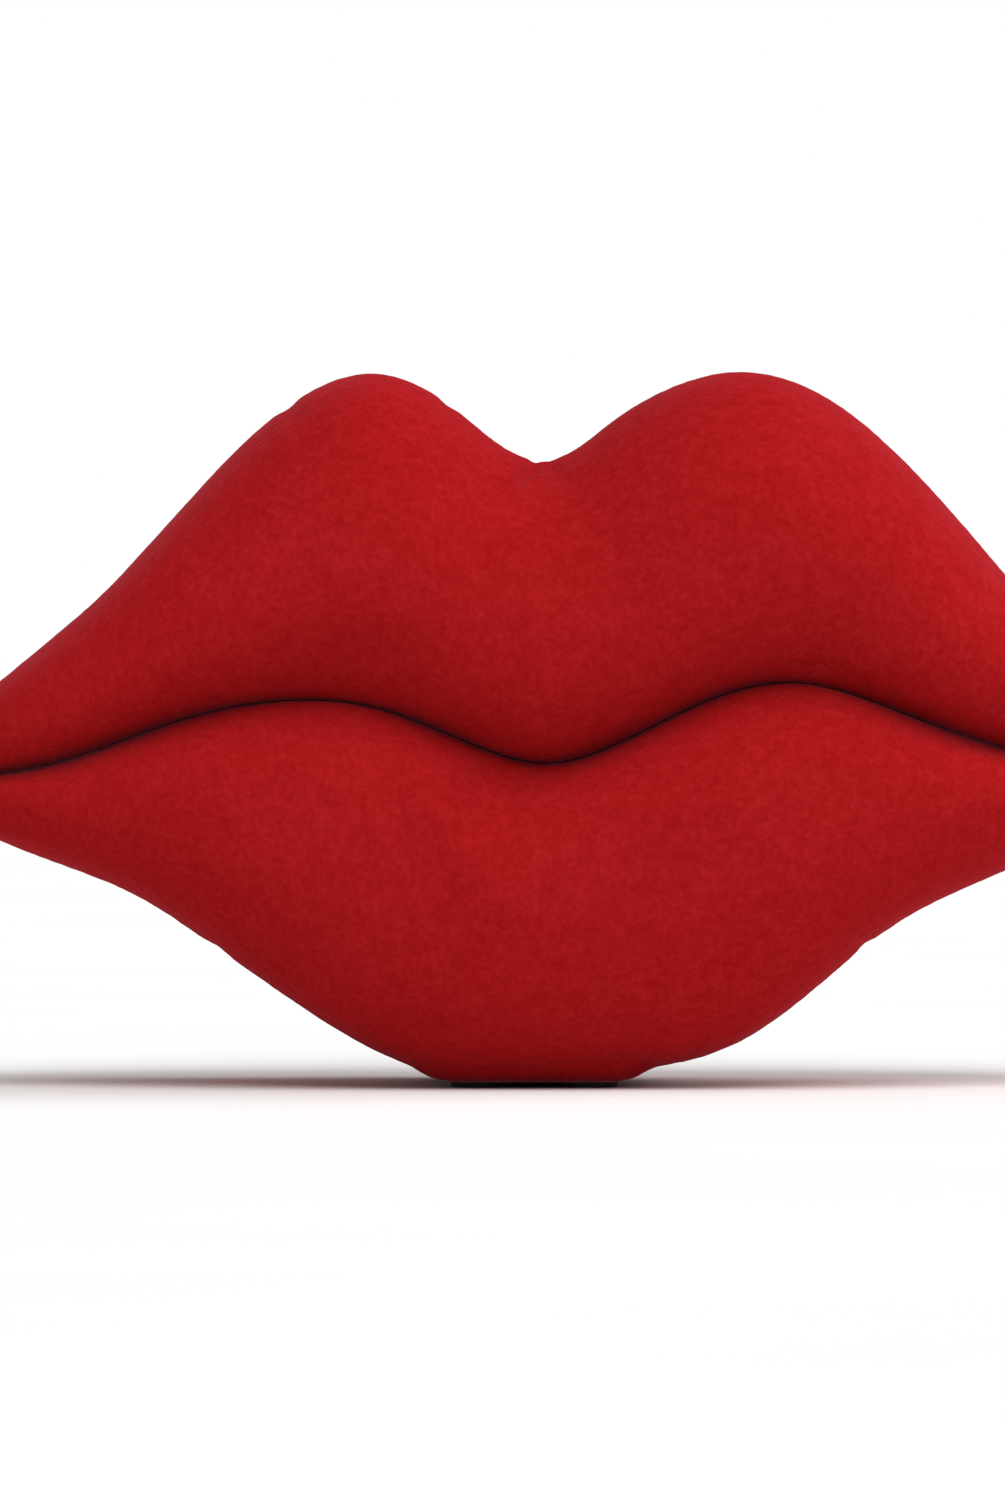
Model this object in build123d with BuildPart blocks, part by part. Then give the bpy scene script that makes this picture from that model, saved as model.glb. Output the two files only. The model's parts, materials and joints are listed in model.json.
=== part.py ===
from build123d import *

import os

os.makedirs("parts", exist_ok=True)

# A telephone in the shape of closed lips, in millimetres. X runs across the mouth, the front faces
# -Y and +Z is up. The origin is on the surface that it stands on, under the middle of its box.
# The upper lip is the handset and lifts off the lower lip, which is the base. Each lip is a fabric
# cover over foam over a hard plastic core, and the two part along the mouth line.

# ---- Form of the lips ----
# One row for each slice across the mouth: x, height of the upper lip's top, of the mouth line and
# of the lower lip's bottom, then the foremost and rearmost y.
SLICES = [
    (-115.5, 59.0, 55.6, 52.4, -1.0, 20.0),
    (-107.0, 66.5, 55.8, 47.0, -13.0, 29.0),
    (-92.0, 78.6, 57.4, 41.4, -27.0, 37.0),
    (-69.0, 100.4, 64.5, 31.6, -39.5, 43.2),
    (-46.0, 122.6, 69.2, 15.8, -45.5, 46.0),
    (-23.0, 125.4, 66.0, 3.6, -47.0, 47.0),
    (0.0, 112.0, 58.4, 1.7, -46.2, 47.0),
    (23.0, 125.3, 66.3, 4.3, -47.0, 47.0),
    (46.0, 125.9, 72.4, 15.6, -45.5, 46.0),
    (69.0, 107.6, 65.0, 32.4, -39.5, 43.2),
    (92.0, 82.6, 58.6, 42.4, -27.0, 37.0),
    (107.0, 67.0, 55.8, 47.4, -13.0, 29.0),
    (115.5, 59.0, 55.4, 52.4, -1.0, 20.0),
]
# Outline of a slice from just past the mouth line's front edge round to just past its rear edge,
# as shares of its depth from the front and of its height from the mouth line.
UPPER_OUTLINE = [
    (0.26, -0.14),
    (0.13, 0.00),
    (0.00, 0.36),
    (0.10, 0.78),
    (0.34, 1.00),
    (0.70, 0.92),
    (1.00, 0.34),
    (0.97, -0.14),
]
LOWER_OUTLINE = [
    (0.26, -0.12),
    (0.13, 0.00),
    (0.00, 0.34),
    (0.05, 0.74),
    (0.20, 0.96),
    (0.44, 1.00),
    (0.70, 0.985),
    (0.94, 0.82),
    (1.00, 0.40),
    (0.97, -0.12),
]
# Outlines of the hard cores, seen from the front (x, z) and from the side (y, z). Each runs on past
# the flat rim where the core is cut.
UPPER_CORE_FRONT = [(-72, 60), (-72, 84), (-42, 104), (44, 104), (72, 88), (72, 60)]
UPPER_CORE_SIDE = [(-30, 60), (-30, 92), (-20, 104), (12, 104), (32, 88), (34, 60)]
LOWER_CORE_FRONT = [(-72, 70), (-72, 46), (-44, 26), (-20, 14), (18, 14), (46, 26), (72, 45), (72, 70)]
LOWER_CORE_SIDE = [(-30, 70), (-30, 26), (-22, 14), (30, 14), (34, 24), (34, 70)]

# ---- Layers of each lip ----
cover_thickness = 1.2
glue_gap = 0.2  # between the foam and what it is glued to
wall = 2.5
crease_gap = 0.6  # open space between the two lips along the mouth line
foam_reach = 108.0  # slices up to here carry foam, and the cover closes beyond them
past_lips = 130.0  # far enough from the middle to clear the whole object
panel_clearance = 0.2
padding_clearance = 0.3  # the padding hangs this far above the floor plate's face
screw_gap = 0.1  # from a countersunk head to the face around it

# ---- Where the handset rests on the base ----
rest_height = 75.5  # underside of the handset's panel
pad_thickness = 2.0
seat_top = rest_height - pad_thickness
seat_length, seat_width = 132.0, 46.0
seat_y = 5.5  # middle of the seat and of everything on the handset's panel
seat_corner, seat_edge = 6.0, 1.2
pocket_clearance, pocket_corner = 1.5, 7.0
pad_radius, pad_inset = 4.0, 6.0
tub_top = 50.0
flange_top = tub_top + wall

# ---- Handset panel ----
panel_top = rest_height + wall
receiver_x, receiver_radius, receiver_height = -50.0, 13.0, 8.0
receiver_step, receiver_cap = 0.6, 0.62  # of its height to the step, of its radius above it
gasket_height, gasket_width = 1.2, 3.0
microphone_x, microphone_radius, microphone_height = 58.0, 4.85, 6.5
boot_radius, boot_height = 7.0, 7.2
sound_hole, sound_ring = 1.1, 6.0
microphone_hole, microphone_hole_pitch = 0.77, 3.2
column_pitch, row_pitch = 13.0, 11.0
key_length, key_width = 10.0, 8.0  # along Y and along X
key_corner, key_edge = 1.6, 0.5
key_face = rest_height - 1.5
key_flange, key_flange_overlap = 1.0, 0.9
key_play = 0.25
dome_height, dome_radius, dome_taper = 1.4, 3.4, -12
mat_thickness, mat_length, mat_width = 1.2, 43.6, 41.0
flange_bottom = panel_top + 0.1
mat_bottom = flange_bottom + key_flange + 0.1
board_bottom = mat_bottom + dome_height + mat_thickness + 0.1
board_thickness = 1.6
board_length, board_width = 54.0, 44.0
board_hole, board_corner = 1.1, 2.0
board_screw_x, board_screw_y = 24.4, 19.5
board_head = 1.3  # height of the heads of the screws in both boards
pillar_radius, pillar_bore, pillar_depth = 2.4, 0.9, 4.0
chip_width, chip_edge = 7.5, 0.5
dialling_chip_x, dialling_chip_length, dialling_chip_height = -4.0, 18.0, 3.2
volume_x, volume_travel = 41.0, 8.0
volume_face = key_face + 0.3
volume_knob_width, volume_knob_length = 4.8, 6.0
volume_case_width, volume_case_length, volume_case_height = 10.0, 38.0, 6.5
volume_shoe_width, volume_shoe_length = 8.0, 22.4
volume_track_length, volume_track_depth = 32.0, 1.5
shell_screw_x, shell_screw_y = 31.5, 17.5
boss_radius, boss_bore, boss_depth = 3.0, 1.2, 14.0
panel_screw_hole, panel_screw_recess, panel_recess_depth = 1.6, 2.9, 1.2

# ---- Telephone sockets ----
jack_x, jack_z = 52.0, panel_top + 7.5
jack_size, jack_front, jack_length = 11.8, 30.0, 11.0
bezel_size, bezel_corner, bezel_thickness = 14.2, 1.8, 1.6
bezel_back = jack_front + jack_length + bezel_thickness
cord_mouth_width, cord_mouth_height = 7.7, 6.6
line_mouth_width, line_mouth_height = 9.8, 7.0
latch_width, latch_height = 3.2, 2.4  # notch for the plug's latch, below the mouth
cord_socket_size, line_socket_size, socket_length, mouth_depth = 11.0, 13.0, 13.0, 10.5
mouth_rise = 0.6  # from the middle of a rear socket to the middle of its mouth

# ---- Base ----
well_x, well_y = -2.0, 4.0
well_length, well_width, well_corner, well_height = 32.0, 52.0, 4.0, 20.0
foot_height, foot_radius, foot_recess, foot_play, foot_edge = 1.0, 5.0, 0.6, 0.1, 0.35
floor_screw_hole, floor_screw_recess, floor_recess_depth = 1.5, 2.7, 1.2
floor_thickness = 3.0
floor_bottom = foot_height
floor_top = floor_bottom + floor_thickness
underside = floor_bottom + padding_clearance  # the padding is flat here
corner_x, corner_y = 10.0, 20.0  # screws and feet, from the middle of the well
corner_boss_radius, corner_boss_height = 4.2, 12.0
corner_bore, corner_bore_depth = 1.1, 10.0
ballast_length, ballast_width, ballast_height = 26.0, 31.0, 14.0
main_board_z = 30.0
main_board_length, main_board_width, main_board_corner = 84.0, 44.0, 3.0
main_board_y = seat_y - 1.5
board_top = main_board_z + board_thickness
post_x, post_y, post_radius = 37.0, 17.0, 2.8
post_foot = 23.6  # inside the tub's sloping wall
post_bore, post_depth = 0.9, 5.0
transformer_x, transformer_y = -26.0, 1.5
capacitor_spots = [(-7.0, -6.0), (2.0, -6.0), (12.0, -8.0)]
capacitor_radius, capacitor_height = 3.2, 11.0
speech_chip_x, speech_chip_y, speech_chip_length, speech_chip_height = 2.0, 8.5, 20.0, 3.6

# ---- Hook switch, which the lifted handset lets rise ----
hook_x, hook_travel = 28.0, 4.0
hook_gap = 0.1  # from the plunger's top to the handset at rest
plunger_radius, plunger_edge = 3.0, 1.2
collar_radius, collar_thickness = 5.2, 2.0
guide_bottom, guide_radius, guide_bore = 60.0, 6.0, 3.3
bracket_z, bracket_thickness, bracket_length, bracket_width = 40.0, 1.6, 22.0, 12.0
bracket_hole = 3.4
bracket_bolt = 8.0  # bracket screws, either side of the plunger
bracket_post_radius, bracket_post_bore = 2.4, 0.8
bracket_head = 1.2
switch_length, switch_width, switch_height, switch_button = 8.0, 12.8, 5.4, 1.0
spring_wire, spring_radius, spring_turns = 0.35, 4.2, 6  # the wire's and the coil's radius

# ---- Rear panel of the base ----
back_y = 42.5  # outer face of the rear panel
back_inner = back_y - wall
back_length, back_height, back_z, back_corner = 69.6, 25.6, 34.0, 3.0
back_opening = 28.0  # the panel's box starts here and runs to the panel
line_jack_x, cord_jack_x, ringer_switch_x, ringer_x = -21.0, -4.0, 10.0, 22.0
socket_clearance = 0.3
ringer_travel = 4.0
ringer_slot_height, ringer_play = 3.4, 0.6
ringer_knob_width, ringer_knob_height, ringer_knob_reach = 3.0, 2.8, 2.0
ringer_case_length, ringer_case_depth, ringer_case_height = 11.5, 5.0, 8.0
ringer_lug = 1.5  # the switch case hangs this far behind the panel, on two lugs
ringer_radius, ringer_rim, ringer_depth = 5.9, 0.9, 6.5
ringer_hole_ring = 4.0
back_screw_x, back_head = 31.0, 1.2
back_bore, back_bore_depth = 0.9, 7.0
back_block_y, back_block = 35.5, (4.2, 9.0, 5.0)

# ---- Screw heads ----
cross_length, cross_width, cross_depth = 1.2, 0.5, 0.6  # of the head's radius, in mm, of its height

BOTTOM = (Align.CENTER, Align.CENTER, Align.MIN)  # stands on its place
BEHIND = (Align.CENTER, Align.MAX, Align.CENTER)  # lies in front of its place


def beyond_mouth(upper, gap):
    """All the space above the mouth line, or below it, that is more than gap away from it."""
    way = 1 if upper else -1
    points = [(row[0], row[2] + way * gap) for row in SLICES]
    far = way * 2 * past_lips
    with BuildPart() as side:
        with BuildSketch(Plane.XZ.offset(-past_lips)):
            with BuildLine():
                Spline(*points)
                Polyline(
                    points[-1],
                    (past_lips, points[-1][1]),
                    (past_lips, far),
                    (-past_lips, far),
                    (-past_lips, points[0][1]),
                    points[0],
                )
            make_face()
        extrude(amount=2 * past_lips)
    return side.part


def lip_solid(upper, gap, inset=0.0, reach=past_lips):
    """One lip, drawn in by inset all round and parted from the mouth line by gap."""
    outline = UPPER_OUTLINE if upper else LOWER_OUTLINE
    mouth_side = beyond_mouth(upper, gap)
    with BuildPart() as lip:
        for x, top, mouth, bottom, front, back in SLICES:
            if abs(x) <= reach:
                height = (top - inset if upper else bottom + inset) - mouth
                depth = back - front - 2 * inset
                with BuildSketch(Plane.YZ.offset(x)):
                    with BuildLine():
                        curve = Spline(
                            *[(front + inset + u * depth, mouth + w * height) for u, w in outline]
                        )
                        Line(curve @ 1, curve @ 0)
                    make_face()
        loft()
        add(mouth_side, mode=Mode.INTERSECT)
    return lip.part


def core_block(front_outline, side_outline, grow=0.0):
    """A hard core's block: its outline from the front cut to its outline from the side."""
    with BuildPart() as block:
        with BuildSketch(Plane.XZ.offset(-past_lips)):
            with BuildLine():
                Polyline(*front_outline, close=True)
            make_face()
            if grow:
                offset(amount=grow, kind=Kind.INTERSECTION)
        extrude(amount=2 * past_lips)
        with BuildSketch(Plane.YZ.offset(-past_lips)):
            with BuildLine():
                Polyline(*side_outline, close=True)
            make_face()
            if grow:
                offset(amount=grow, kind=Kind.INTERSECTION)
        extrude(amount=2 * past_lips, mode=Mode.INTERSECT)
    return block.part


def slab(bottom, top):
    """Everything between two heights."""
    with BuildPart() as layer:
        with BuildSketch(Plane.XY.offset(bottom)):
            Rectangle(2 * past_lips, 2 * past_lips)
        extrude(amount=top - bottom)
    return layer.part


def save(piece, label):
    """Names a finished piece and writes its file."""
    piece.part.label = label
    export_step(piece.part, f"parts/{label}.step")


def screw(head_radius, head_height, shank_radius, length):
    """A screw with its head's flat face at the origin, pointing up."""
    with BuildPart() as fastener:
        Cylinder(head_radius, head_height, align=BOTTOM)
        Cylinder(shank_radius, length, align=BOTTOM)
        with BuildSketch(Plane.XY):
            Rectangle(cross_length * head_radius, cross_width)
            Rectangle(cross_width, cross_length * head_radius)
        extrude(amount=cross_depth * head_height, mode=Mode.SUBTRACT)
    return fastener.part


def either_side(x, spread, y, z):
    """Two places, spread to the left and to the right of x."""
    return [(x - spread, y, z), (x + spread, y, z)]


cover_gap = crease_gap / 2
foam_gap = cover_gap + cover_thickness

upper_outer = lip_solid(True, cover_gap)
upper_filling = lip_solid(True, foam_gap, cover_thickness, foam_reach)
lower_outer = lip_solid(False, cover_gap)
lower_filling = lip_solid(False, foam_gap, cover_thickness, foam_reach)
upper_core = core_block(UPPER_CORE_FRONT, UPPER_CORE_SIDE)
upper_cavity = core_block(UPPER_CORE_FRONT, UPPER_CORE_SIDE, glue_gap)
upper_hollow = core_block(UPPER_CORE_FRONT, UPPER_CORE_SIDE, -wall)
upper_plate = core_block(UPPER_CORE_FRONT, UPPER_CORE_SIDE, -wall - panel_clearance)
lower_core = core_block(LOWER_CORE_FRONT, LOWER_CORE_SIDE)
lower_cavity = core_block(LOWER_CORE_FRONT, LOWER_CORE_SIDE, glue_gap)
lower_hollow = core_block(LOWER_CORE_FRONT, LOWER_CORE_SIDE, -wall)

# ---- Upper lip: the handset ----
# The pocket under the handset, which the seat of the base fills.
with BuildPart() as pocket:
    with BuildSketch(Plane.XY.offset(rest_height)):
        with Locations((0, seat_y)):
            RectangleRounded(
                seat_length + 2 * pocket_clearance, seat_width + 2 * pocket_clearance, pocket_corner
            )
    extrude(amount=-rest_height)

# Room for the jack in the rear of the upper lip.
with BuildPart() as jack_tunnel:
    with BuildSketch(Plane.XZ.offset(-jack_front + 10)):
        with Locations((jack_x, jack_z)):
            RectangleRounded(
                bezel_size + 2 * glue_gap, bezel_size + 2 * glue_gap, bezel_corner + glue_gap
            )
    extrude(amount=-40)

with BuildPart() as upper_cavity_above:
    add(upper_cavity)
    add(slab(rest_height - glue_gap, past_lips), mode=Mode.INTERSECT)

with BuildPart() as upper_lip_cover:
    add(upper_outer)
    add(upper_filling, mode=Mode.SUBTRACT)
    add(pocket.part, mode=Mode.SUBTRACT)
    add(jack_tunnel.part, mode=Mode.SUBTRACT)
save(upper_lip_cover, "upper_lip_cover")

with BuildPart() as upper_lip_foam:
    add(upper_filling)
    add(upper_cavity_above.part, mode=Mode.SUBTRACT)
    add(pocket.part, mode=Mode.SUBTRACT)
    add(jack_tunnel.part, mode=Mode.SUBTRACT)
save(upper_lip_foam, "upper_lip_foam")

shell_spots = [
    (x, seat_y + y) for x in (-shell_screw_x, shell_screw_x) for y in (-shell_screw_y, shell_screw_y)
]
with BuildPart() as shell_bosses:
    with Locations(*[(x, y, panel_top) for x, y in shell_spots]):
        Cylinder(boss_radius, past_lips - panel_top, align=BOTTOM)
        Cylinder(boss_bore, boss_depth, align=BOTTOM, mode=Mode.SUBTRACT)
    add(upper_core, mode=Mode.INTERSECT)

with BuildPart() as handset_shell:
    add(upper_core)
    add(slab(rest_height, past_lips), mode=Mode.INTERSECT)
    add(upper_hollow, mode=Mode.SUBTRACT)
    add(shell_bosses.part)
    with Locations((jack_x, bezel_back, jack_z)):
        Box(jack_size + 0.6, 2 * (bezel_back - 26), jack_size + 0.6, mode=Mode.SUBTRACT)
save(handset_shell, "handset_shell")

key_spots = [
    (column * column_pitch, row * row_pitch)
    for row in (-1.5, -0.5, 0.5, 1.5)
    for column in (1, 0, -1)
]
key_names = ["1", "2", "3", "4", "5", "6", "7", "8", "9", "star", "0", "hash"]

with BuildPart() as handset_underside_panel:
    add(upper_plate)
    add(slab(rest_height, panel_top), mode=Mode.INTERSECT)
    with Locations(*[(x, seat_y + y, rest_height) for y, x in key_spots]):
        Box(
            key_width + 2 * key_play,
            key_length + 2 * key_play,
            wall,
            align=BOTTOM,
            mode=Mode.SUBTRACT,
        )
    with BuildSketch(Plane.XY.offset(rest_height)):
        with Locations((receiver_x, seat_y)):
            Circle(sound_hole)
            with PolarLocations(sound_ring, 6):
                Circle(sound_hole)
        with Locations((microphone_x, seat_y)):
            with GridLocations(0, microphone_hole_pitch, 1, 2):
                Circle(microphone_hole)
        with Locations((volume_x, seat_y)):
            Rectangle(volume_knob_width + 0.6, volume_knob_length + volume_travel + 0.6)
        with Locations(*shell_spots):
            Circle(panel_screw_hole)
    extrude(amount=wall, mode=Mode.SUBTRACT)
    with BuildSketch(Plane.XY.offset(rest_height)):
        with Locations(*shell_spots):
            Circle(panel_screw_recess)
    extrude(amount=panel_recess_depth, mode=Mode.SUBTRACT)
    with BuildSketch(Plane.XY.offset(panel_top)):
        with Locations((0, seat_y)):
            with GridLocations(2 * board_screw_x, 2 * board_screw_y, 2, 2):
                Circle(pillar_radius)
    extrude(amount=board_bottom - panel_top)
    with BuildSketch(Plane.XY.offset(board_bottom)):
        with Locations((0, seat_y)):
            with GridLocations(2 * board_screw_x, 2 * board_screw_y, 2, 2):
                Circle(pillar_bore)
    extrude(amount=-pillar_depth, mode=Mode.SUBTRACT)
save(handset_underside_panel, "handset_underside_panel")

with BuildPart() as receiver_gasket:
    with BuildSketch(Plane.XY.offset(panel_top)):
        with Locations((receiver_x, seat_y)):
            Circle(receiver_radius)
            Circle(receiver_radius - gasket_width, mode=Mode.SUBTRACT)
    extrude(amount=gasket_height)
save(receiver_gasket, "receiver_gasket")

with BuildPart() as receiver_capsule:
    with BuildSketch(Plane.XY.offset(panel_top + gasket_height)):
        with Locations((receiver_x, seat_y)):
            Circle(receiver_radius)
    extrude(amount=receiver_height * receiver_step)
    with BuildSketch(Plane.XY.offset(panel_top + gasket_height + receiver_height * receiver_step)):
        with Locations((receiver_x, seat_y)):
            Circle(receiver_radius * receiver_cap)
    extrude(amount=receiver_height * (1 - receiver_step))
    chamfer(receiver_capsule.faces().sort_by(Axis.Z)[-1].edges(), 0.6)
save(receiver_capsule, "receiver_capsule")

with BuildPart() as microphone_boot:
    with BuildSketch(Plane.XY.offset(panel_top)):
        with Locations((microphone_x, seat_y)):
            Circle(boot_radius)
            Circle(microphone_radius + 0.05, mode=Mode.SUBTRACT)
    extrude(amount=boot_height)
    fillet(microphone_boot.faces().sort_by(Axis.Z)[-1].edges().sort_by(SortBy.LENGTH)[-1], 1)
save(microphone_boot, "microphone_boot")

with BuildPart() as microphone_capsule:
    with BuildSketch(Plane.XY.offset(panel_top)):
        with Locations((microphone_x, seat_y)):
            Circle(microphone_radius)
    extrude(amount=microphone_height)
save(microphone_capsule, "microphone_capsule")

for name, (y, x) in zip(key_names, key_spots):
    with BuildPart() as key:
        with BuildSketch(Plane.XY.offset(key_face)):
            with Locations((x, seat_y + y)):
                RectangleRounded(key_width, key_length, key_corner)
        extrude(amount=flange_bottom - key_face)
        fillet(key.faces().sort_by(Axis.Z)[0].edges(), key_edge)
        with BuildSketch(Plane.XY.offset(flange_bottom)):
            with Locations((x, seat_y + y)):
                Rectangle(key_width + 2 * key_flange_overlap, key_length + 2 * key_flange_overlap)
        extrude(amount=key_flange)
    save(key, f"key_{name}")

with BuildPart() as keypad_mat:
    with BuildSketch(Plane.XY.offset(mat_bottom + dome_height)):
        with Locations((0, seat_y)):
            Rectangle(mat_length, mat_width)
    extrude(amount=mat_thickness)
    with BuildSketch(Plane.XY.offset(mat_bottom)):
        with Locations(*[(x, seat_y + y) for y, x in key_spots]):
            Circle(dome_radius)
    extrude(amount=dome_height, taper=dome_taper)
save(keypad_mat, "keypad_mat")

with BuildPart() as keypad_board:
    with BuildSketch(Plane.XY.offset(board_bottom)):
        with Locations((0, seat_y)):
            RectangleRounded(board_length, board_width, board_corner)
            with GridLocations(2 * board_screw_x, 2 * board_screw_y, 2, 2):
                Circle(board_hole, mode=Mode.SUBTRACT)
    extrude(amount=board_thickness)
save(keypad_board, "keypad_board")

with BuildPart() as dialling_chip:
    with BuildSketch(Plane.XY.offset(board_bottom + board_thickness)):
        with Locations((dialling_chip_x, seat_y)):
            Rectangle(dialling_chip_length, chip_width)
    extrude(amount=dialling_chip_height)
    chamfer(dialling_chip.faces().sort_by(Axis.Z)[-1].edges(), chip_edge)
save(dialling_chip, "dialling_chip")

board_screw = screw(2.1, board_head, 0.8, 5.0)
with BuildPart() as keypad_board_screws:
    with Locations((0, seat_y, board_bottom + board_thickness + board_head)):
        with GridLocations(2 * board_screw_x, 2 * board_screw_y, 2, 2):
            add(board_screw.rotate(Axis.X, 180))
save(keypad_board_screws, "keypad_board_screws")

panel_screw = screw(2.7, 1.1, 1.15, 12.0)
with BuildPart() as handset_screws:
    with Locations(*[(x, y, rest_height + screw_gap) for x, y in shell_spots]):
        add(panel_screw)
save(handset_screws, "handset_screws")

with BuildPart() as volume_slider:
    with BuildSketch(Plane.XY.offset(volume_face)):
        with Locations((volume_x, seat_y)):
            RectangleRounded(volume_knob_width, volume_knob_length, 0.8)
    extrude(amount=flange_bottom - volume_face)
    with BuildSketch(Plane.XY.offset(volume_face)):
        with Locations((volume_x, seat_y)):
            with GridLocations(0, 1.6, 1, 3):
                Rectangle(2 * volume_knob_width, 0.5)
    extrude(amount=0.4, mode=Mode.SUBTRACT)
    with BuildSketch(Plane.XY.offset(flange_bottom)):
        with Locations((volume_x, seat_y)):
            Rectangle(volume_shoe_width, volume_shoe_length)
    extrude(amount=key_flange)
save(volume_slider, "volume_slider")

with BuildPart() as volume_control:
    with BuildSketch(Plane.XY.offset(panel_top)):
        with Locations((volume_x, seat_y)):
            Rectangle(volume_case_width, volume_case_length)
    extrude(amount=volume_case_height)
    with BuildSketch(Plane.XY.offset(panel_top)):
        with Locations((volume_x, seat_y)):
            Rectangle(volume_case_width, volume_track_length)
    extrude(amount=volume_track_depth, mode=Mode.SUBTRACT)
save(volume_control, "volume_control")

# A four-way handset socket, mouth to the rear.
with BuildPart() as handset_jack:
    with BuildSketch(Plane.XZ.offset(-jack_front)):
        with Locations((jack_x, jack_z)):
            Rectangle(jack_size, jack_size)
    extrude(amount=-jack_length)
    with BuildSketch(Plane.XZ.offset(-jack_front - jack_length)):
        with Locations((jack_x, jack_z)):
            RectangleRounded(bezel_size, bezel_size, bezel_corner)
    extrude(amount=-bezel_thickness)
    with BuildSketch(Plane.XZ.offset(-bezel_back)):
        with Locations((jack_x, jack_z + 0.3)):
            Rectangle(cord_mouth_width, cord_mouth_height)
        with Locations((jack_x, jack_z - cord_mouth_height / 2)):
            Rectangle(latch_width, latch_height)
    extrude(amount=mouth_depth - 0.5, mode=Mode.SUBTRACT)
save(handset_jack, "handset_jack")

# ---- Lower lip: the base ----
with BuildPart() as lower_cavity_below:
    add(lower_cavity)
    add(slab(0, flange_top + glue_gap), mode=Mode.INTERSECT)

# What the seat, the floor and the rear panel take out of the foam and the cover.
with BuildPart() as base_openings:
    with BuildSketch(Plane.XY.offset(flange_top)):
        with Locations((0, seat_y)):
            RectangleRounded(seat_length + 2 * glue_gap, seat_width + 2 * glue_gap, seat_corner)
    extrude(amount=past_lips - flange_top)
    with BuildSketch(Plane.XY):
        with Locations((well_x, well_y)):
            RectangleRounded(well_length + 2 * glue_gap, well_width + 2 * glue_gap, well_corner)
    extrude(amount=main_board_z)
    with BuildSketch(Plane.XZ.offset(-back_opening)):
        with Locations((0, back_z)):
            RectangleRounded(back_length + 2 * glue_gap, back_height + 2 * glue_gap, back_corner)
    extrude(amount=back_opening - past_lips)

with BuildPart() as lower_pad:
    add(lower_filling)
    add(slab(underside + cover_thickness, past_lips), mode=Mode.INTERSECT)

with BuildPart() as lower_lip_cover:
    add(lower_outer)
    add(slab(underside, past_lips), mode=Mode.INTERSECT)
    add(lower_pad.part, mode=Mode.SUBTRACT)
    add(base_openings.part, mode=Mode.SUBTRACT)
save(lower_lip_cover, "lower_lip_cover")

with BuildPart() as lower_lip_foam:
    add(lower_pad.part)
    add(lower_cavity_below.part, mode=Mode.SUBTRACT)
    add(base_openings.part, mode=Mode.SUBTRACT)
save(lower_lip_foam, "lower_lip_foam")

main_spots = [(x, main_board_y + y) for x in (-post_x, post_x) for y in (-post_y, post_y)]
corner_spots = [
    (well_x + x, well_y + y) for x in (-corner_x, corner_x) for y in (-corner_y, corner_y)
]
with BuildPart() as base_tub:
    add(lower_core)
    add(slab(0, tub_top), mode=Mode.INTERSECT)
    with BuildSketch(Plane.XY.offset(floor_top)):
        with Locations((well_x, well_y)):
            RectangleRounded(well_length, well_width, well_corner)
    extrude(amount=well_height)
    with BuildSketch(Plane.XZ.offset(-back_opening)):
        with Locations((0, back_z)):
            RectangleRounded(back_length, back_height, back_corner)
    extrude(amount=back_opening - back_inner)
    add(lower_hollow, mode=Mode.SUBTRACT)
    with BuildSketch(Plane.XY.offset(floor_top)):
        with Locations((well_x, well_y)):
            RectangleRounded(well_length - 2 * wall, well_width - 2 * wall, well_corner - wall + 0.1)
    extrude(amount=main_board_z, mode=Mode.SUBTRACT)
    with BuildSketch(Plane.XZ.offset(4 - back_opening)):
        with Locations((0, back_z)):
            Rectangle(back_length - 2 * wall, back_height - 2 * wall)
    extrude(amount=back_opening - 4 - back_inner, mode=Mode.SUBTRACT)
    with Locations(*[(x, y, floor_top) for x, y in corner_spots]):
        Cylinder(corner_boss_radius, corner_boss_height, align=BOTTOM)
        Cylinder(corner_bore, corner_bore_depth, align=BOTTOM, mode=Mode.SUBTRACT)
    with Locations(*[(x, y, post_foot) for x, y in main_spots]):
        Cylinder(post_radius, main_board_z - post_foot, align=BOTTOM)
    with Locations(*[(x, y, main_board_z - post_depth) for x, y in main_spots]):
        Cylinder(post_bore, post_depth, align=BOTTOM, mode=Mode.SUBTRACT)
    with Locations(*either_side(0, back_screw_x, back_block_y, back_z)):
        Box(*back_block)
    with BuildSketch(Plane.XZ.offset(-back_inner)):
        with Locations((-back_screw_x, back_z), (back_screw_x, back_z)):
            Circle(back_bore)
    extrude(amount=back_bore_depth, mode=Mode.SUBTRACT)
save(base_tub, "base_tub")

with BuildPart() as base_floor:
    with BuildSketch(Plane.XY.offset(floor_bottom)):
        with Locations((well_x, well_y)):
            RectangleRounded(well_length, well_width, well_corner)
        with Locations(*corner_spots):
            Circle(floor_screw_hole, mode=Mode.SUBTRACT)
    extrude(amount=floor_thickness)
    with BuildSketch(Plane.XY.offset(floor_bottom)):
        with Locations(*corner_spots):
            Circle(foot_radius + foot_play)
    extrude(amount=foot_recess, mode=Mode.SUBTRACT)
    with BuildSketch(Plane.XY.offset(floor_bottom)):
        with Locations(*corner_spots):
            Circle(floor_screw_recess)
    extrude(amount=foot_recess + floor_recess_depth, mode=Mode.SUBTRACT)
save(base_floor, "base_floor")

with BuildPart() as rubber_feet:
    with BuildSketch(Plane.XY):
        with Locations(*corner_spots):
            Circle(foot_radius)
    extrude(amount=foot_height + foot_recess)
    chamfer(rubber_feet.faces().group_by(Axis.Z)[0].edges(), foot_edge)
save(rubber_feet, "rubber_feet")

floor_screw = screw(2.5, 1.1, 1.05, 10.0)
with BuildPart() as floor_screws:
    with Locations(*[(x, y, floor_bottom + foot_recess) for x, y in corner_spots]):
        add(floor_screw)
save(floor_screws, "floor_screws")

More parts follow.
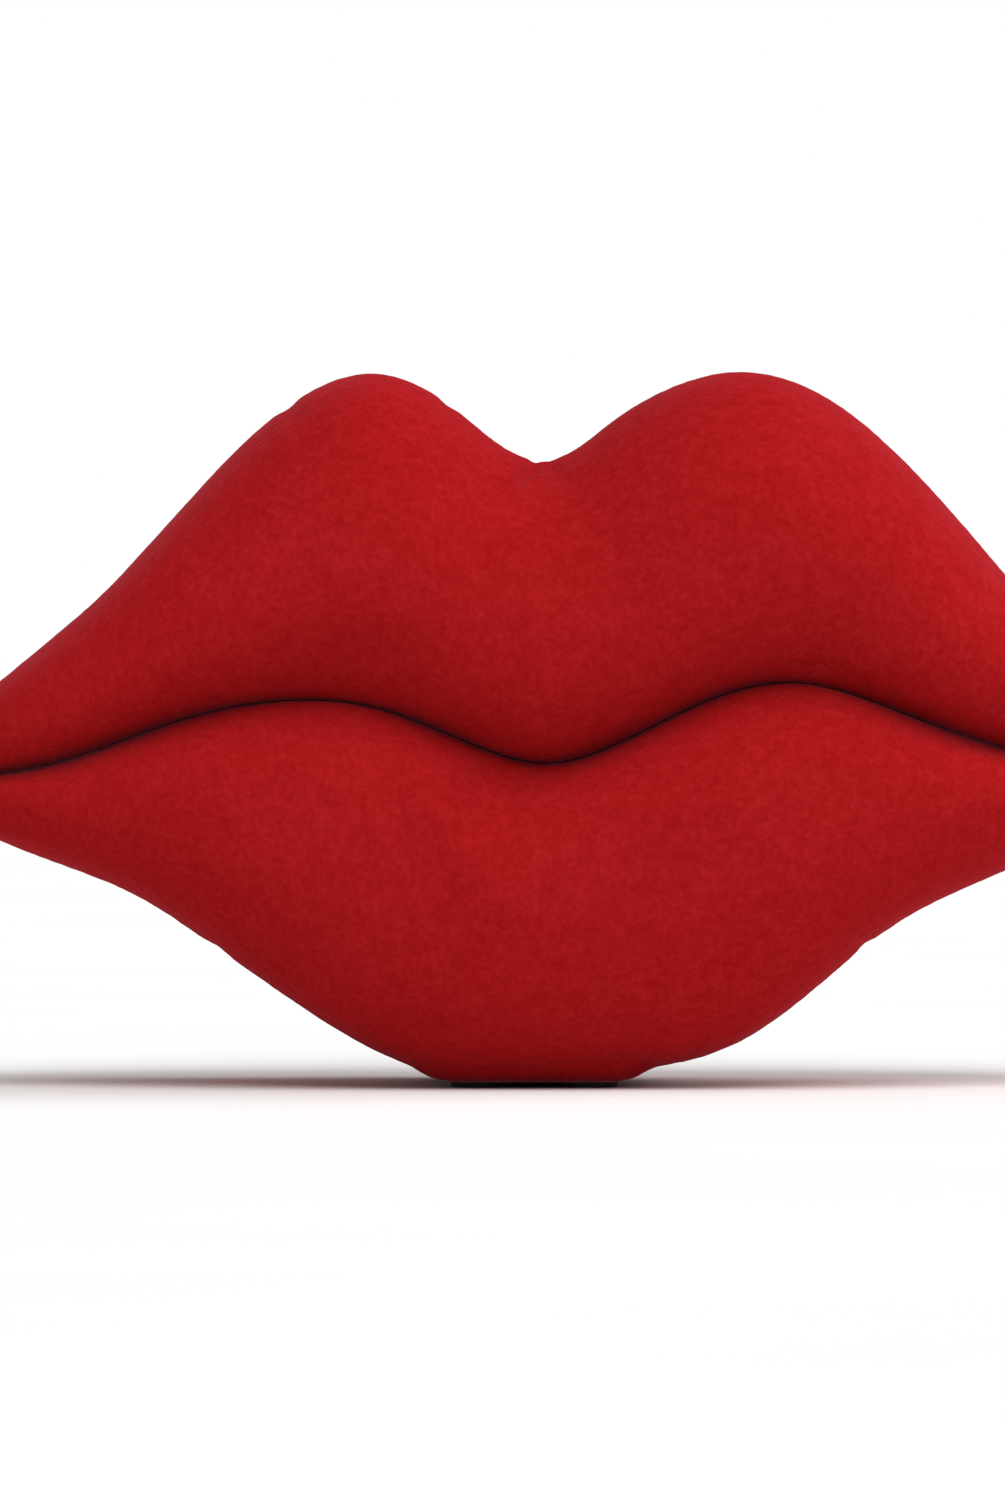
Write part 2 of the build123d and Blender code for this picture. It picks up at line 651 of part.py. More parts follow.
with BuildPart() as ballast_weight:
    with BuildSketch(Plane.XY.offset(floor_top)):
        with Locations((well_x, well_y)):
            RectangleRounded(ballast_length, ballast_width, 1.5)
    extrude(amount=ballast_height)
    chamfer(ballast_weight.faces().sort_by(Axis.Z)[-1].edges(), 0.8)
save(ballast_weight, "ballast_weight")

with BuildPart() as base_seat:
    add(lower_core)
    add(slab(tub_top, flange_top), mode=Mode.INTERSECT)
    with BuildSketch(Plane.XY.offset(tub_top)):
        with Locations((0, seat_y)):
            RectangleRounded(seat_length, seat_width, seat_corner)
    extrude(amount=seat_top - tub_top)
    fillet(base_seat.faces().sort_by(Axis.Z)[-1].edges(), seat_edge)
    with BuildSketch(Plane.XY.offset(tub_top)):
        with Locations((0, seat_y)):
            RectangleRounded(seat_length - 2 * wall, seat_width - 2 * wall, seat_corner - wall)
    extrude(amount=seat_top - wall - tub_top, mode=Mode.SUBTRACT)
    with Locations((hook_x, seat_y, guide_bottom)):
        Cylinder(guide_radius, seat_top - guide_bottom - 0.5, align=BOTTOM)
    with Locations(*either_side(hook_x, bracket_bolt, seat_y, bracket_z)):
        Cylinder(bracket_post_radius, seat_top - bracket_z - 0.5, align=BOTTOM)
        Cylinder(bracket_post_bore, 6, align=BOTTOM, mode=Mode.SUBTRACT)
    with Locations((hook_x, seat_y, guide_bottom)):
        Cylinder(guide_bore, rest_height - guide_bottom, align=BOTTOM, mode=Mode.SUBTRACT)
save(base_seat, "base_seat")

with BuildPart() as seat_pads:
    with BuildSketch(Plane.XY.offset(seat_top)):
        with Locations((0, seat_y)):
            with GridLocations(seat_length - 2 * pad_inset, seat_width - 2 * pad_inset, 2, 2):
                Circle(pad_radius)
    extrude(amount=pad_thickness)
save(seat_pads, "seat_pads")

plunger_bottom = board_top + switch_height + switch_button + 0.2
collar_bottom = guide_bottom - hook_travel - collar_thickness
with BuildPart() as hook_plunger:
    with Locations((hook_x, seat_y, plunger_bottom)):
        Cylinder(plunger_radius, rest_height - hook_gap - plunger_bottom, align=BOTTOM)
    fillet(hook_plunger.faces().sort_by(Axis.Z)[-1].edges(), plunger_edge)
    with Locations((hook_x, seat_y, collar_bottom)):
        Cylinder(collar_radius, collar_thickness, align=BOTTOM)
save(hook_plunger, "hook_plunger")

with BuildPart() as hook_bracket:
    with Locations((hook_x, seat_y, bracket_z)):
        Box(
            bracket_length,
            bracket_width,
            bracket_thickness,
            align=(Align.CENTER, Align.CENTER, Align.MAX),
        )
        Cylinder(bracket_hole, 10, mode=Mode.SUBTRACT)
    with Locations(*either_side(hook_x, bracket_bolt, seat_y, bracket_z)):
        Cylinder(1.0, 10, mode=Mode.SUBTRACT)
    fillet(hook_bracket.edges().filter_by(Axis.Z).group_by(Axis.X)[0], 2)
    fillet(hook_bracket.edges().filter_by(Axis.Z).group_by(Axis.X)[-1], 2)
save(hook_bracket, "hook_bracket")

bracket_screw = screw(1.8, bracket_head, 0.75, 6.0)
bracket_head_z = bracket_z - bracket_thickness - bracket_head
with BuildPart() as hook_bracket_screws:
    with Locations(*either_side(hook_x, bracket_bolt, seat_y, bracket_head_z)):
        add(bracket_screw)
save(hook_bracket_screws, "hook_bracket_screws")

spring_bottom = bracket_z + 0.1
spring_height = collar_bottom - 0.1 - spring_bottom - 2 * spring_wire  # between the wire's middles
with BuildPart() as hook_spring:
    with BuildLine(Plane((hook_x, seat_y, spring_bottom + spring_wire))) as coil:
        Helix(pitch=spring_height / spring_turns, height=spring_height, radius=spring_radius)
    with BuildSketch(Plane(coil.line @ 0, z_dir=coil.line % 0)):
        Circle(spring_wire)
    sweep()
save(hook_spring, "hook_spring")

with BuildPart() as main_board:
    with BuildSketch(Plane.XY.offset(main_board_z)):
        with Locations((0, main_board_y)):
            RectangleRounded(main_board_length, main_board_width, main_board_corner)
            with GridLocations(2 * post_x, 2 * post_y, 2, 2):
                Circle(board_hole, mode=Mode.SUBTRACT)
    extrude(amount=board_thickness)
save(main_board, "main_board")

main_screw = screw(2.1, board_head, 0.8, 6.0)
with BuildPart() as main_board_screws:
    with Locations((0, main_board_y, board_top + board_head)):
        with GridLocations(2 * post_x, 2 * post_y, 2, 2):
            add(main_screw.rotate(Axis.X, 180))
save(main_board_screws, "main_board_screws")

with BuildPart() as hook_switch:
    with Locations((hook_x, seat_y, board_top)):
        Box(switch_length, switch_width, switch_height, align=BOTTOM)
    chamfer(hook_switch.faces().sort_by(Axis.Z)[-1].edges(), 0.4)
    with Locations((hook_x, seat_y, board_top + switch_height)):
        Cylinder(1.4, switch_button, align=BOTTOM)
save(hook_switch, "hook_switch")

with BuildPart() as line_transformer:
    with Locations((transformer_x, transformer_y, board_top)):
        Box(18, 20, 3, align=BOTTOM)  # the bobbin's foot
        Box(13, 16, 14, align=BOTTOM)  # the winding
        Box(17, 9, 15, align=BOTTOM)  # the core
    fillet(line_transformer.edges().filter_by(Axis.Z), 0.6)
save(line_transformer, "line_transformer")

with BuildPart() as capacitors:
    with Locations(*[(x, y, board_top) for x, y in capacitor_spots]):
        Cylinder(capacitor_radius, capacitor_height, align=BOTTOM)
    fillet(capacitors.faces().group_by(Axis.Z)[-1].edges(), 0.6)
save(capacitors, "capacitors")

with BuildPart() as speech_chip:
    with Locations((speech_chip_x, speech_chip_y, board_top)):
        Box(speech_chip_length, chip_width, speech_chip_height, align=BOTTOM)
    chamfer(speech_chip.faces().sort_by(Axis.Z)[-1].edges(), chip_edge)
save(speech_chip, "speech_chip")

with BuildPart() as rear_panel:
    with BuildSketch(Plane.XZ.offset(-back_inner)):
        with Locations((0, back_z)):
            RectangleRounded(back_length, back_height, back_corner)
        for x, size in ((line_jack_x, line_socket_size), (cord_jack_x, cord_socket_size)):
            with Locations((x, back_z)):
                Rectangle(size + socket_clearance, size + socket_clearance, mode=Mode.SUBTRACT)
        with Locations((ringer_switch_x, back_z)):
            Rectangle(
                ringer_knob_width + ringer_travel + ringer_play, ringer_slot_height, mode=Mode.SUBTRACT
            )
        with Locations((ringer_x, back_z)):
            Circle(sound_hole, mode=Mode.SUBTRACT)
            with PolarLocations(ringer_hole_ring, 6):
                Circle(sound_hole, mode=Mode.SUBTRACT)
        with Locations((-back_screw_x, back_z), (back_screw_x, back_z)):
            Circle(1.15, mode=Mode.SUBTRACT)
    extrude(amount=-wall)
save(rear_panel, "rear_panel")

rear_screw = screw(1.9, back_head, 0.75, 8.0)
with BuildPart() as rear_panel_screws:
    with Locations(*either_side(0, back_screw_x, back_y + back_head, back_z)):
        add(rear_screw.rotate(Axis.X, 90))
save(rear_panel_screws, "rear_panel_screws")


def socket(x, size, mouth_width, mouth_height):
    """A modular telephone socket in the rear panel, its mouth flush with the panel."""
    with BuildPart() as jack:
        with BuildSketch(Plane.XZ.offset(-back_y)):
            with Locations((x, back_z)):
                Rectangle(size, size)
        extrude(amount=socket_length)
        with BuildSketch(Plane.XZ.offset(-back_y)):
            with Locations((x, back_z + mouth_rise)):
                Rectangle(mouth_width, mouth_height)
            with Locations((x, back_z + mouth_rise - mouth_height / 2 - 0.6)):
                Rectangle(latch_width, latch_height)
        extrude(amount=mouth_depth, mode=Mode.SUBTRACT)
    return jack


line_jack = socket(line_jack_x, line_socket_size, line_mouth_width, line_mouth_height)
save(line_jack, "line_jack")
cord_jack = socket(cord_jack_x, cord_socket_size, cord_mouth_width, cord_mouth_height)
save(cord_jack, "cord_jack")

with BuildPart() as ringer_switch:
    with Locations((ringer_switch_x, back_inner - ringer_lug, back_z)):
        Box(ringer_case_length, ringer_case_depth, ringer_case_height, align=BEHIND)
    with Locations(*either_side(ringer_switch_x, 5, back_inner, back_z)):
        Box(1.4, 2 * ringer_lug, ringer_case_height, align=BEHIND)
save(ringer_switch, "ringer_switch")

with BuildPart() as ringer_switch_knob:
    with Locations((ringer_switch_x - ringer_travel / 2, back_y + ringer_knob_reach, back_z)):
        Box(ringer_knob_width, ringer_knob_reach + wall + 0.1, ringer_knob_height, align=BEHIND)
    fillet(ringer_switch_knob.faces().sort_by(Axis.Y)[-1].edges(), 0.5)
    with Locations((ringer_switch_x - ringer_travel / 2, back_inner - 0.1, back_z)):
        Box(4.2, 1.1, 6.0, align=BEHIND)
save(ringer_switch_knob, "ringer_switch_knob")

with BuildPart() as ringer:
    with BuildSketch(Plane.XZ.offset(-back_inner)):
        with Locations((ringer_x, back_z)):
            Circle(ringer_radius)
            Circle(ringer_radius - ringer_rim, mode=Mode.SUBTRACT)
    extrude(amount=ringer_lug)
    with BuildSketch(Plane.XZ.offset(ringer_lug - back_inner)):
        with Locations((ringer_x, back_z)):
            Circle(ringer_radius)
    extrude(amount=ringer_depth)
save(ringer, "ringer")
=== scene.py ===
import json
import math

import bpy
import numpy as np
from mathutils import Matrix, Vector, noise


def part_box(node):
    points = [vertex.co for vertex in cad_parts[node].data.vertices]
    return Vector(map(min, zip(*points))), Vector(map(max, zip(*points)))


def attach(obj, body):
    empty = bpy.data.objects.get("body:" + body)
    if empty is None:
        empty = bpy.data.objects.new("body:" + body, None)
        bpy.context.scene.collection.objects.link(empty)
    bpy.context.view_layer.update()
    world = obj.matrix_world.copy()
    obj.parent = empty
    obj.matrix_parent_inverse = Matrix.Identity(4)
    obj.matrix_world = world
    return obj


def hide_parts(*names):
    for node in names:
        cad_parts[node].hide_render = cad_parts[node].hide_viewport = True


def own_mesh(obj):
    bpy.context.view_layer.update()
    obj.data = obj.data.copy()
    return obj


# The looks of a telephone in the shape of closed lips: two padded lips in napped red fabric around
# the hard parts, which keep their own shapes. Forms are in millimetres and meshes in metres.
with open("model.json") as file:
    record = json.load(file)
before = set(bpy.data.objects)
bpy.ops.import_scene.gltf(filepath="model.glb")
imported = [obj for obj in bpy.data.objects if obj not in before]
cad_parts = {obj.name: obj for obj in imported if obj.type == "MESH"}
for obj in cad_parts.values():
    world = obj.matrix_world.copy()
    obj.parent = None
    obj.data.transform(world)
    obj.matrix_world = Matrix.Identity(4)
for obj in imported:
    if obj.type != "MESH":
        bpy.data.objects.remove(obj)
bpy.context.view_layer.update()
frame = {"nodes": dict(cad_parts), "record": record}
MM = 0.001

# ---- Form of the lips ----
# Outlines as seen from the front, each point (x, z).
TOP_EDGE = [
    (-115.5, 59.0), (-100, 72.0), (-79, 89.6), (-66, 103.4), (-46, 122.2), (-33, 127.6), (-19, 123.2),
    (-9, 115.6), (0, 111.9), (10, 117.6), (22, 124.8), (36, 127.9), (51, 123.3), (74, 102.6),
    (97, 77.2), (115.5, 59.0),
]
MOUTH_EDGE = [
    (-115.5, 55.6), (-88, 58.2), (-65, 66.0), (-44, 69.5), (-30, 68.0), (-13, 61.5), (0, 58.2),
    (14, 62.2), (30, 69.8), (45, 72.6), (61, 68.3), (84, 60.3), (115.5, 55.4),
]
BOTTOM_EDGE = [
    (-115.5, 52.4), (-97, 43.4), (-72, 33.3), (-57, 23.4), (-37, 10.1), (-21, 2.9), (-5, 1.4),
    (17, 3.2), (34, 7.6), (46, 15.6), (60, 27.2), (78, 36.8), (115.5, 52.4),
]
# Foremost and rearmost y of each slice across the mouth: (x, front, back).
DEPTH = [
    (-115.5, -1.0, 20.0), (-107, -13.0, 29.0), (-92, -27.0, 37.0), (-69, -39.5, 43.2),
    (-46, -45.5, 46.0), (-23, -47.0, 47.0), (0, -46.2, 47.0), (23, -47.0, 47.0),
    (46, -45.5, 46.0), (69, -39.5, 43.2), (92, -27.0, 37.0), (107, -13.0, 29.0), (115.5, -1.0, 20.0),
]
# Outline of a slice from the mouth's front edge round to its rear edge, as shares of its depth and
# of its height from the mouth line.
UPPER_OUTLINE = [
    (0.26, -0.02), (0.19, 0.00), (0.10, 0.07), (0.03, 0.20), (0.00, 0.40), (0.09, 0.78), (0.34, 1.00),
    (0.70, 0.92), (1.00, 0.34), (0.97, -0.14),
]
LOWER_OUTLINE = [
    (0.24, -0.03), (0.17, 0.00), (0.085, 0.07), (0.02, 0.20), (0.00, 0.38), (0.05, 0.74), (0.20, 0.96),
    (0.44, 1.00), (0.70, 0.985), (0.94, 0.82), (1.00, 0.40), (0.97, -0.12),
]
OUTLINE_ASPECT = 94.0, 56.0  # depth and height of a full slice, which space the outline's points
CREASE = 0.06  # from the mouth line to each lip
MOUTH_ARCH = 1.6  # both mouth faces arch up by this much between front and rear
ARCH_SHARE = 0.1  # but by no more than this share of the lip's height
ARCH_FADE = 9.0  # the arch grows over this distance from the recess's ends
ROUNDING_PASSES = 8  # smoothing that rounds the edges, as cloth does
TIP_LENGTH = 5.0  # the rounded end beyond the last slice
TIP_RINGS = 9
TIP_SPACING, TIP_BLUNTNESS = 1.6, 0.6  # powers: rings crowd towards the end, and how round it is
TIP_OFFSET = 0.3  # of the tip's point from the mouth line
POLE_STEP = 0.02  # the last point stands this far past the last ring
SLICE_STEP = 0.8
UNDERSIDE = 1.35  # the lower lip hangs flat here
UNDERSIDE_SHARPNESS = 2.2  # how abruptly it turns flat

# Rings of points: the outer face, then the mouth face with the recess for the seat.
OUTER_POINTS, RIM_POINTS, WALL_POINTS, ROOF_POINTS = 236, 15, 10, 24
RECESS_CORNER = 6.0
UPPER_RECESS = {"half": 67.5, "front": -19.0, "back": 30.0}
LOWER_RECESS = {"half": 66.4, "front": -17.9, "back": 28.9}
UPPER_RECESS_TOP = 90.0
TUB_BOTTOM = [(-66, 41.0), (-44, 25.4), (-20, 13.4), (18, 13.4), (46, 25.4), (66, 40.0)]

# Unevenness of the padding: height and size of each kind of lump.
BROAD_LUMPS, FINE_LUMPS, NAP_LUMPS = (0.85, 34.0), (0.28, 11.0), (0.10, 1.7)
EDGE_FADE_POINTS = 9.0  # it fades over this many points at the mouth's edges
TIP_FADE = 116, 100  # and between these distances from the middle

# The rear seam: its place round the ring (True for the upper lip), and its groove with a raised welt
# on both sides, in points from the seam.
SEAM_INDEX = {True: 168, False: 176}
SEAM_DEPTH, SEAM_REACH = 1.3, 2.2
WELT_HEIGHT, WELT_OUTER, WELT_INNER = 0.35, 7, 2

# Soft swellings and hollows of the padding on the front: x, z, half-widths, lean in degrees, height.
UPPER_SWELLINGS = [
    (-1.5, 92.0, 5.5, 17.0, 0, 1.3),
    (-35.0, 76.0, 14.0, 7.0, -8, -2.0),
    (55.0, 80.0, 13.0, 9.0, -25, -2.2),
    (-13.0, 98.0, 6.0, 16.0, 8, -0.8),
    (12.0, 98.0, 6.0, 16.0, -8, -0.8),
    (-62.0, 86.0, 12.0, 8.0, 30, 0.6),
    (36.0, 106.0, 16.0, 11.0, 0, 0.7),
]
LOWER_SWELLINGS = [
    (-18.5, 49.0, 4.4, 15.0, -31, 1.7),
    (-8.0, 53.0, 7.0, 8.0, 0, -2.2),
    (12.0, 52.0, 9.0, 9.0, 20, 0.7),
    (40.0, 46.0, 16.0, 12.0, 25, 0.6),
    (-48.0, 40.0, 14.0, 9.0, -30, 0.5),
    (2.0, 22.0, 24.0, 8.0, 0, -0.6),
    (-66.0, 44.0, 10.0, 6.0, -20, -0.4),
]
# Creases pinched into the padding: start and end (x, z), half-width, depth.
UPPER_CREASES = [
    ((-2.0, 111.5), (-8.5, 106.0), 1.2, 1.9),
    ((1.0, 111.6), (5.0, 107.5), 1.3, 0.8),
    ((-46.6, 122.8), (-43.5, 119.0), 1.8, 0.5),
    ((-17.5, 123.4), (-18.5, 119.8), 1.6, 0.4),
]
LOWER_CREASES = [
    ((58.0, 24.8), (54.5, 27.6), 2.0, 0.6),
    ((17.5, 2.6), (17.0, 6.5), 2.0, 0.4),
    ((-59.0, 24.6), (-55.0, 28.0), 2.2, 0.4),
]

KEYS = ("1", "2", "3", "4", "5", "6", "7", "8", "9", "star", "0", "hash")
FIGURE_SIZE, STAR_SIZE, FIGURE_THICKNESS, FIGURE_GAP = 6.4, 9.0, 0.05, 0.02

# The keypad's rubber, below its sheet: (radius, share of the height) up a dome.
DOME_HEIGHT = 1.4
DOME_PROFILE = [(2.9, 0.0), (3.35, 0.06), (3.5, 0.25), (3.7, 0.94), (3.75, 1.0)]
DOME_TURNS = 24


def through(points, at, column=1):
    """A natural cubic spline through the points' column over their first one, read at those places."""
    x = np.array([p[0] for p in points], float)
    y = np.array([p[column] for p in points], float)
    step = np.diff(x)
    size = len(x)
    system = np.eye(size)
    right = np.zeros(size)
    for i in range(1, size - 1):
        system[i, i - 1 : i + 2] = step[i - 1], 2 * (step[i - 1] + step[i]), step[i]
        right[i] = 6 * ((y[i + 1] - y[i]) / step[i] - (y[i] - y[i - 1]) / step[i - 1])
    bend = np.linalg.solve(system, right)
    i = np.clip(np.searchsorted(x, at) - 1, 0, size - 2)
    past, left = at - x[i], x[i + 1] - at
    curve = (bend[i] * left**3 + bend[i + 1] * past**3) / (6 * step[i])
    curve += (y[i] / step[i] - bend[i] * step[i] / 6) * left
    return curve + (y[i + 1] / step[i] - bend[i + 1] * step[i] / 6) * past


def smoothstep(low, high, value):
    """Goes smoothly from 0 at low to 1 at high. High may be the smaller of the two."""
    share = np.clip((value - low) / (high - low), 0, 1)
    return share * share * (3 - 2 * share)


def outline_shares(outline, count):
    """The outline from mouth edge to mouth edge as evenly spaced shares of depth and height."""
    deep, tall = OUTLINE_ASPECT
    points = np.array(outline)
    gaps = np.hypot(np.diff(points[:, 0]) * deep, np.diff(points[:, 1]) * tall)
    along = np.concatenate([[0], np.cumsum(gaps)])
    fine = np.linspace(along[1], along[-1], 4000)
    u = through(list(zip(along, points[:, 0])), fine)
    w = through(list(zip(along, points[:, 1])), fine)
    end = np.argmax((w < 0) & (fine > along[-1] / 2))
    u, w = u[:end], np.maximum(w[:end], 0)
    run = np.concatenate([[0], np.cumsum(np.hypot(np.diff(u) * deep, np.diff(w) * tall))])
    even = np.linspace(0, run[-1], count)
    return np.interp(even, run, u), np.interp(even, run, w)


def stations(half):
    """Places of the slices across the mouth, closer together at the recess's two ends."""
    edge = TOP_EDGE[-1][0]
    count = round(2 * edge / SLICE_STEP)
    ends = [s * (half + d) for s in (-1, 1) for d in (-0.4, -0.2, 0, 0.2, 0.4, 0.6)]
    return np.array(sorted({*np.round(np.linspace(-edge, edge, count), 3), *np.round(ends, 3)}))


def lip_rings(upper):
    """The smooth form of one lip: an array of rings of points, one ring for each slice."""
    way = 1 if upper else -1
    recess = UPPER_RECESS if upper else LOWER_RECESS
    x = stations(recess["half"])
    edge = through(TOP_EDGE if upper else BOTTOM_EDGE, x)
    mouth = through(MOUTH_EDGE, x)
    front, back = through(DEPTH, x, 1), through(DEPTH, x, 2)
    u, w = outline_shares(UPPER_OUTLINE if upper else LOWER_OUTLINE, OUTER_POINTS)
    start = mouth + way * CREASE
    y_outer = front[:, None] + np.outer(back - front, u)
    z_outer = start[:, None] + (edge - start)[:, None] * w[None, :]

    inside = smoothstep(recess["half"] + 0.5, recess["half"] - 0.1, np.abs(x))
    past_straight = np.clip(np.abs(x) - (recess["half"] - RECESS_CORNER), 0, RECESS_CORNER)
    corner = RECESS_CORNER - np.sqrt(RECESS_CORNER**2 - past_straight**2)
    recess_back, recess_front = recess["back"] - corner, recess["front"] + corner
    if upper:
        deep = np.full_like(x, UPPER_RECESS_TOP)
    else:
        deep = np.interp(x, *np.array(TUB_BOTTOM).T)
    rear, fore = y_outer[:, -1], y_outer[:, 0]
    spread = np.linspace(0, 1, 2 * RIM_POINTS + 2 * WALL_POINTS + ROOF_POINTS + 2)[1:-1]
    y_plain = rear[:, None] + np.outer(fore - rear, spread)
    arch = np.minimum(MOUTH_ARCH, ARCH_SHARE * np.abs(edge - mouth))
    arch *= smoothstep(UPPER_RECESS["half"], UPPER_RECESS["half"] + ARCH_FADE, np.abs(x))
    z_plain = start[:, None] + np.outer(arch, np.sin(math.pi * spread))
    rim = np.linspace(0, 1, RIM_POINTS + 1)[1:]
    wall = np.linspace(0, 1, WALL_POINTS + 1)[1:]
    roof = np.linspace(0, 1, ROOF_POINTS + 2)[1:-1]
    y_recess = np.concatenate(
        [
            rear[:, None] + np.outer(recess_back - rear, rim),
            np.repeat(recess_back[:, None], WALL_POINTS, 1),
            recess_back[:, None] + np.outer(recess_front - recess_back, roof),
            np.repeat(recess_front[:, None], WALL_POINTS, 1),
            recess_front[:, None] + np.outer(fore - recess_front, rim - rim[0]),
        ],
        axis=1,
    )
    rise = np.concatenate([0 * rim, wall, 1 + 0 * roof, 1 - wall, 0 * rim])
    z_recess = start[:, None] + np.outer(deep - start, rise)
    y_inner = y_plain + inside[:, None] * (y_recess - y_plain)
    z_inner = z_plain + inside[:, None] * (z_recess - z_plain)

    y, z = np.hstack([y_outer, y_inner]), np.hstack([z_outer, z_inner])
    for _ in range(ROUNDING_PASSES):
        y = (np.roll(y, 1, 1) + 2 * y + np.roll(y, -1, 1)) / 4
        z = (np.roll(z, 1, 1) + 2 * z + np.roll(z, -1, 1)) / 4
    if not upper:
        z = UNDERSIDE + np.logaddexp(0, (z - UNDERSIDE) * UNDERSIDE_SHARPNESS) / UNDERSIDE_SHARPNESS
    rings = np.stack([np.repeat(x[:, None], y.shape[1], 1), y, z], axis=2)

    caps = []
    for end, side in ((0, -1), (-1, 1)):
        point = np.array([x[end], rings[end][:, 1].mean(), start[end] + way * TIP_OFFSET])
        run = 1 - np.linspace(1, 0, TIP_RINGS + 1, endpoint=False)[1:] ** TIP_SPACING
        cap = [
            point
            + (rings[end] - point) * (1 - t) ** TIP_BLUNTNESS
            + np.array([side * TIP_LENGTH * t, 0, 0])
            for t in run
        ]
        caps.append(cap[::-1] if end == 0 else cap)
    return np.concatenate([caps[0], rings, caps[1]])


def normals_of(rings):
    """Outward unit normals at every point of the rings."""
    along = np.gradient(rings, axis=0)
    around = (np.roll(rings, -1, 1) - np.roll(rings, 1, 1)) / 2
    normal = np.cross(around, along)
    normal /= np.maximum(np.linalg.norm(normal, axis=2, keepdims=True), 1e-9)
    middle = rings.mean(1, keepdims=True)
    if (normal * (rings - middle))[len(rings) // 2, : OUTER_POINTS].sum() < 0:
        normal = -normal
    return normal


def lumps(points, size, seed):
    """Smooth noise from -1 to 1 with features of that size, in millimetres."""
    shift = Vector((seed * 17.3, seed * 5.1, seed * 9.7))
    flat = points.reshape(-1, 3) / size
    found = [noise.noise(Vector(p) + shift) for p in flat]
    return np.array(found).reshape(points.shape[:2])


def swellings(rings, spots):
    """Heights of the listed soft swellings, on the front of the lip only."""
    x, y, z = rings[..., 0], rings[..., 1], rings[..., 2]
    total = np.zeros_like(x)
    for at_x, at_z, wide, tall, lean, height in spots:
        c, s = math.cos(math.radians(lean)), math.sin(math.radians(lean))
        across = (x - at_x) * c - (z - at_z) * s
        up = (x - at_x) * s + (z - at_z) * c
        total += height * np.exp(-((across / wide) ** 2) - (up / tall) ** 2)
    return total * smoothstep(20, -8, y)


def creases(rings, lines):
    """Depths of the listed pinched creases, on the front and the top of the lip."""
    x, y, z = rings[..., 0], rings[..., 1], rings[..., 2]
    total = np.zeros_like(x)
    for (x0, z0), (x1, z1), wide, deep in lines:
        run = (x1 - x0) ** 2 + (z1 - z0) ** 2
        share = np.clip(((x - x0) * (x1 - x0) + (z - z0) * (z1 - z0)) / run, 0, 1)
        away = np.hypot(x - x0 - share * (x1 - x0), z - z0 - share * (z1 - z0))
        total -= deep * np.exp(-((away / wide) ** 2)) * (1 - 0.75 * share)
    return total * smoothstep(24, 4, y)


def outside_window(a, b, low, high, corner):
    """Distance outside a rounded window, in the two directions that it spans."""
    middle, half = (low + high) / 2, (high - low) / 2 - corner
    da, db = np.abs(a - middle[0]) - half[0], np.abs(b - middle[1]) - half[1]
    out = np.hypot(np.maximum(da, 0), np.maximum(db, 0))
    return out + np.minimum(np.maximum(da, db), 0) - corner


def tuck(rings, node, facing, corner, shallow, deep, reach=2.4):
    """Folds the cloth in round a hard part that shows through it: a soft lip, then a deep hole."""
    low, high = (np.array(c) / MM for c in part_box(node))
    if facing == "back":
        face, plane, side = 1, (0, 2), 1
        near = rings[..., 1] > 20
    else:
        face, plane, side = 2, (0, 1), -1
        near = rings[..., 2] < 12
    away = outside_window(
        rings[..., plane[0]], rings[..., plane[1]], low[list(plane)], high[list(plane)], corner
    )
    height = rings[..., face]
    surface = high[face] if side > 0 else low[face]
    reach = reach + (reach * smoothstep(0, 25, rings[..., 1]) if side < 0 else 0)
    height = height + smoothstep(reach, 0.3, away) * near * (surface - side * shallow - height)
    rings[..., face] = height + smoothstep(-0.2, -1.5, away) * near * (deep - height)
    return rings


def mesh_object(name, points, faces, material, smooth=True):
    mesh = bpy.data.meshes.new(name)
    mesh.from_pydata([tuple(p) for p in points], [], faces)
    mesh.validate()
    mesh.update()
    mesh.materials.append(material)
    if smooth:
        mesh.polygons.foreach_set("use_smooth", [True] * len(mesh.polygons))
    made = bpy.data.objects.new(name, mesh)
    bpy.context.collection.objects.link(made)
    return made


